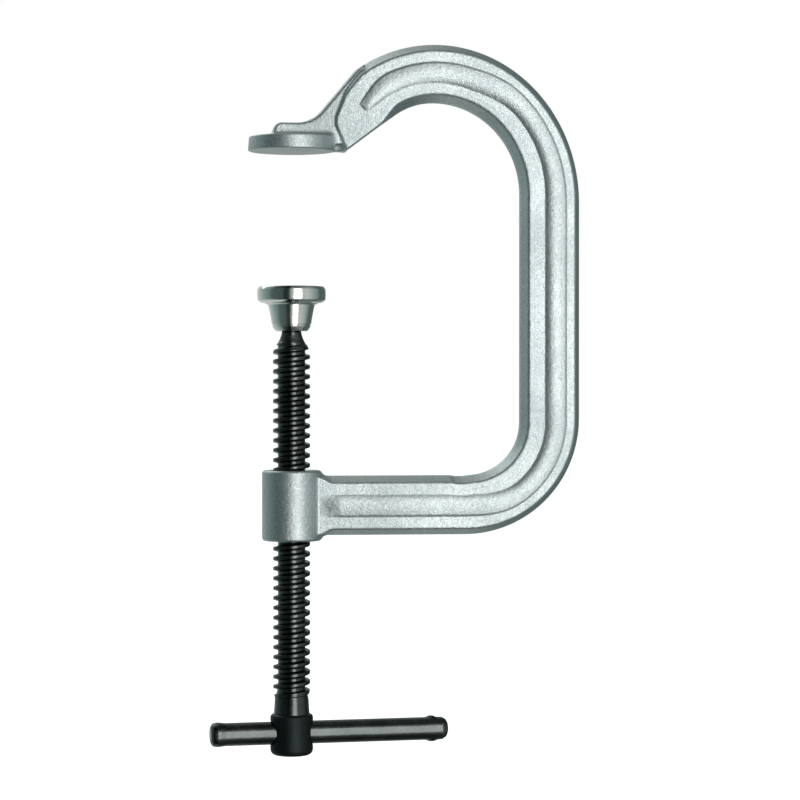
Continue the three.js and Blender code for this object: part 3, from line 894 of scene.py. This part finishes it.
def area_light(name, azimuth, elevation, distance, size, power):
    """A softbox that faces the clamp. Azimuth 0 is on the camera's side of it, and 90 to the right."""
    centre = Vector(LIT_POINT)
    a, e = math.radians(azimuth), math.radians(elevation)
    out = Vector((math.sin(a) * math.cos(e), -math.cos(a) * math.cos(e), math.sin(e)))
    light = bpy.data.lights.new(name, "AREA")
    light.shape = "RECTANGLE"
    light.size, light.size_y = size
    light.energy = power
    thing = bpy.data.objects.new(name, light)
    thing.location = centre + out * distance
    thing.rotation_euler = out.to_track_quat("Z", "Y").to_euler()
    bpy.context.scene.collection.objects.link(thing)


def make_lights():
    area_light("softbox_right_front", 17, -2, 1.5, (0.66, 2.0), 15.0)
    area_light("softbox_upper_left", -140, 42, 1.4, (0.8, 0.8), 2.2)


SHADE_LEVEL = 0.45  # below this brightness the studio is greenish
RED_IN_SHADE = 0.72
RED_IN_LIGHT = 0.95
STEEP_LOSS = 0.88  # share of the light lost straight above and below, in front of the clamp
# how bright the studio is at each azimuth round the clamp, in degrees to the right of its front
STUDIO_AROUND = [
    (-180, 0.64), (-150, 0.6), (-112, 0.38), (-86, 0.24), (-72, 0.13), (-34, 0.09), (-26, 0.03), (-11, 0.05),
    (-3, 0.5), (30, 0.5), (48, 0.6), (62, 0.5), (84, 0.36), (104, 0.12), (150, 0.15), (180, 0.64),
]


def make_world():
    """White where the camera looks; a soft grey studio, brighter in front, for light and reflections."""
    world = bpy.data.worlds.new("studio")
    world.use_nodes = True
    bpy.context.scene.world = world
    nodes = Nodes(world.node_tree)
    nodes.tree.nodes.clear()
    way = nodes.add("ShaderNodeTexCoord").outputs["Generated"]
    parts = nodes.add("ShaderNodeSeparateXYZ", {"Vector": way}).outputs
    azimuth = nodes.math("ARCTAN2", parts["X"], nodes.math("MULTIPLY", parts["Y"], -1.0))
    ramp = nodes.add("ShaderNodeValToRGB", {"Fac": nodes.remap(azimuth, -math.pi, math.pi)})
    stops = ramp.color_ramp.elements
    for degrees, _ in STUDIO_AROUND[1:-1]:
        stops.new((degrees + 180) / 360)
    for stop, (degrees, level) in zip(stops, STUDIO_AROUND):
        stop.position = (degrees + 180) / 360
        red = RED_IN_SHADE if level < SHADE_LEVEL else RED_IN_LIGHT
        stop.color = (level * red, level, level * 0.97, 1)
    steep = nodes.math("ABSOLUTE", parts["Z"])
    loss = nodes.remap(steep, 0.6, 0.93, 0.0, STEEP_LOSS)
    front = nodes.remap(parts["Y"], -0.2, 0.2, 1.0, 0.0)
    strength = nodes.math("SUBTRACT", 1.0, nodes.math("MULTIPLY", loss, front))
    colour = ramp.outputs["Color"]
    studio = nodes.add("ShaderNodeBackground", {"Color": colour, "Strength": strength})
    white = nodes.add("ShaderNodeBackground", {"Color": (1, 1, 1, 1), "Strength": 1.0})
    seen = nodes.add("ShaderNodeLightPath").outputs["Is Camera Ray"]
    shown = nodes.add("ShaderNodeMixShader", {
        "Fac": seen, 1: studio.outputs["Background"], 2: white.outputs["Background"]})
    nodes.add("ShaderNodeOutputWorld", {"Surface": shown.outputs["Shader"]})


def make_floor():
    """Pale paper that light and reflections ignore, lower than the clamp ever reaches."""
    reach = 8.0
    height = cad_box[0].z - FLOOR_DROP
    steps = 24
    points = []
    faces = []
    for i in range(steps + 1):
        for j in range(steps + 1):
            points.append(((i / steps - 0.5) * 2 * reach, (j / steps - 0.5) * 2 * reach, height))
    for i in range(steps):
        for j in range(steps):
            a = i * (steps + 1) + j
            faces.append((a, a + steps + 1, a + steps + 2, a + 1))
    mesh = bpy.data.meshes.new("floor")
    mesh.from_pydata(points, [], faces)
    floor = bpy.data.objects.new("floor", mesh)
    bpy.context.scene.collection.objects.link(floor)
    s = Surface("floor_paper", Roughness=0.9)
    s.shader.inputs["Emission Color"].default_value = (1, 1, 1, 1)
    s.shader.inputs["Emission Strength"].default_value = 0.85
    paper = s.noise(4.0, 3.0, 0.5)
    tone = s.mix(paper, (0.93, 0.935, 0.935, 1), (0.97, 0.97, 0.97, 1))
    mesh.materials.append(s.finish(Base_Color=tone))
    floor.visible_diffuse = False
    floor.visible_glossy = False


# ---- build ----

make_camera()
make_world()
make_lights()
make_floor()
bpy.context.scene.view_settings.view_transform = "Standard"

FINE_STEP = 0.62
FORGING_STEP = FINE_STEP
finish_piece(make_forging(FORGING_STEP), "frame", "c_frame", silver())
screw_black = black_oxide("black_oxide", 0.075, 0.13, HEAD_TOP_Z * MM)
finish_piece(make_screw(), "screw", "screw", screw_black)
finish_piece(make_pad(), "pad", "swivel_pad", nickel())
finish_piece(make_ring(), "retainer", "retaining_ring", spring_steel())
finish_piece(make_bar(), "handle", "sliding_bar", black_oxide("bar_black", 0.07, 0.11))
